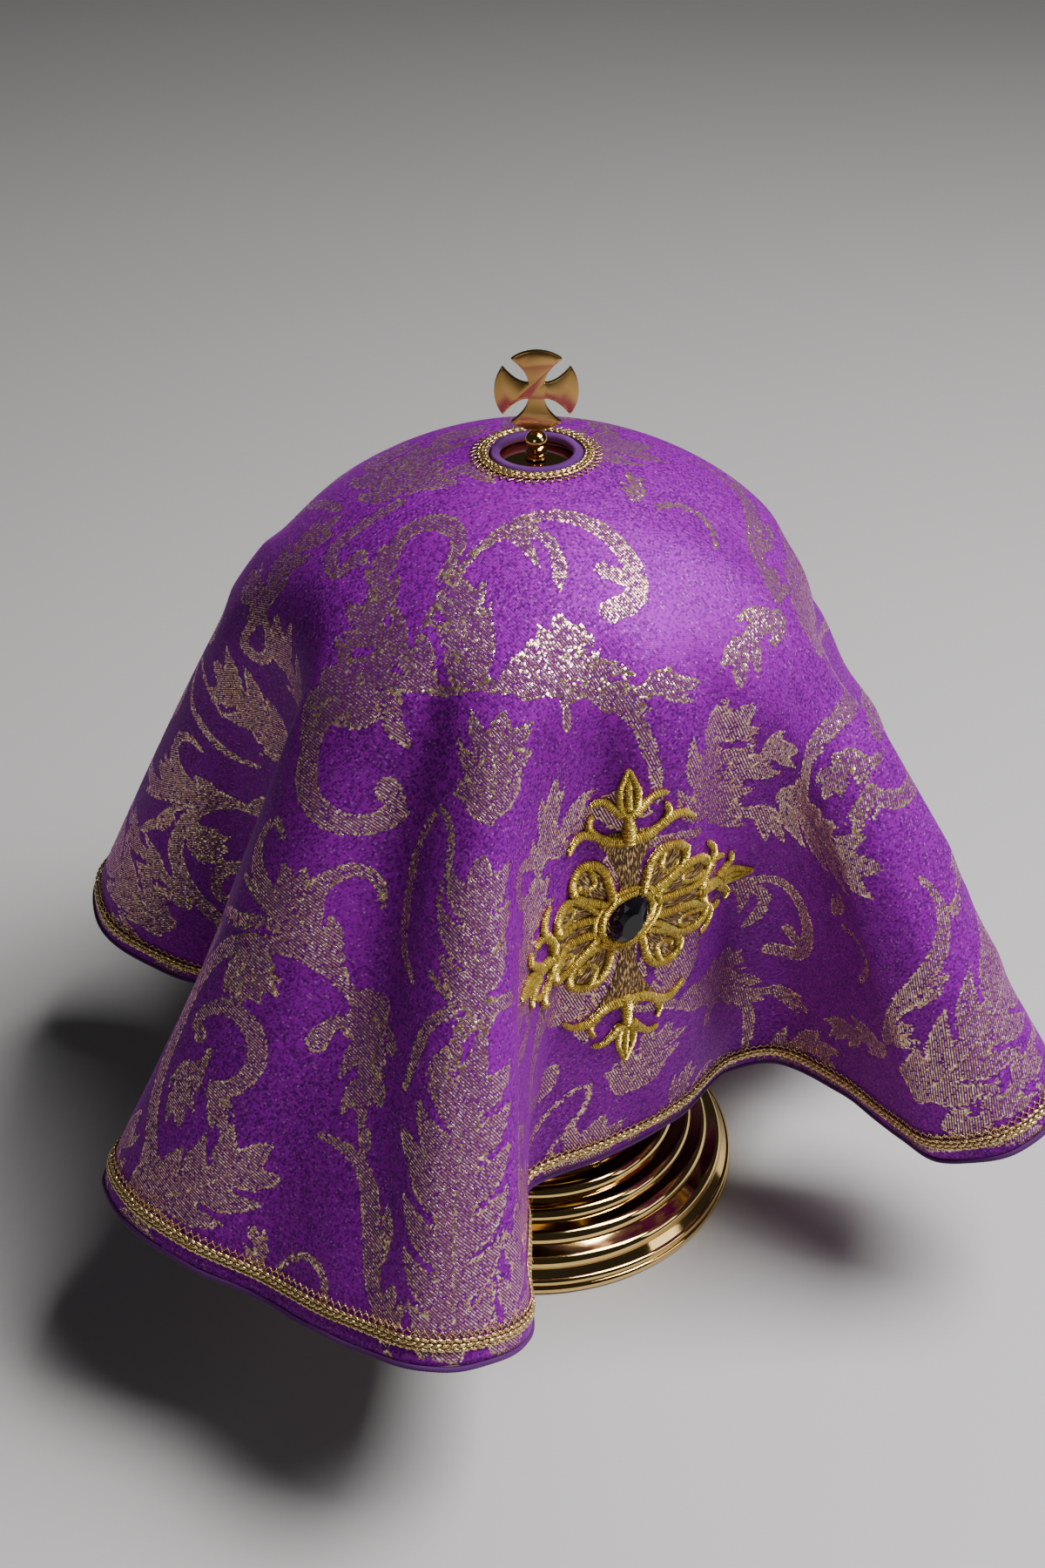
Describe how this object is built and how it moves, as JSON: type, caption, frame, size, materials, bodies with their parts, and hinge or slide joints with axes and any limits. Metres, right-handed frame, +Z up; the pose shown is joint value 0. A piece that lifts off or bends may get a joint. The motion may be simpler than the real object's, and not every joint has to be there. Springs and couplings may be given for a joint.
{
  "type": "ciborium veil on a ciborium",
  "caption": "Round lined brocade veil with gold braid and an embroidered cross, draped over a lidded metal ciborium whose finial stands through its neck hole.",
  "frame": {"origin": "middle of the foot's underside, on the vessel's axis", "axes": "+Z up along the vessel's axis, -Y towards the front fold and the embroidered cross, +X to their right"},
  "size_m": [0.2917, 0.2971, 0.2706],
  "materials": {
    "purple_brocade": "satin ground with metallic gold weft ornament, satin lining",
    "purple_binding": "matt overlocked thread",
    "gold_braid": "metallic thread",
    "gold_embroidery": "glossy satin stitch",
    "black_stone": "faceted and polished",
    "polished_gold": "mirror polished gilding"
  },
  "bodies": {
    "root": {"veil": "purple_brocade", "neck_binding": "purple_binding", "neck_braid": "gold_braid", "hem_braid": "gold_braid", "hem_binding": "purple_binding", "cross_applique": "gold_embroidery", "cross_stone": "black_stone", "foot": "polished_gold", "stem": "polished_gold", "cup": "polished_gold", "lid": "polished_gold", "finial_stem": "polished_gold", "finial_cross": "polished_gold"}
  },
  "joints": []
}
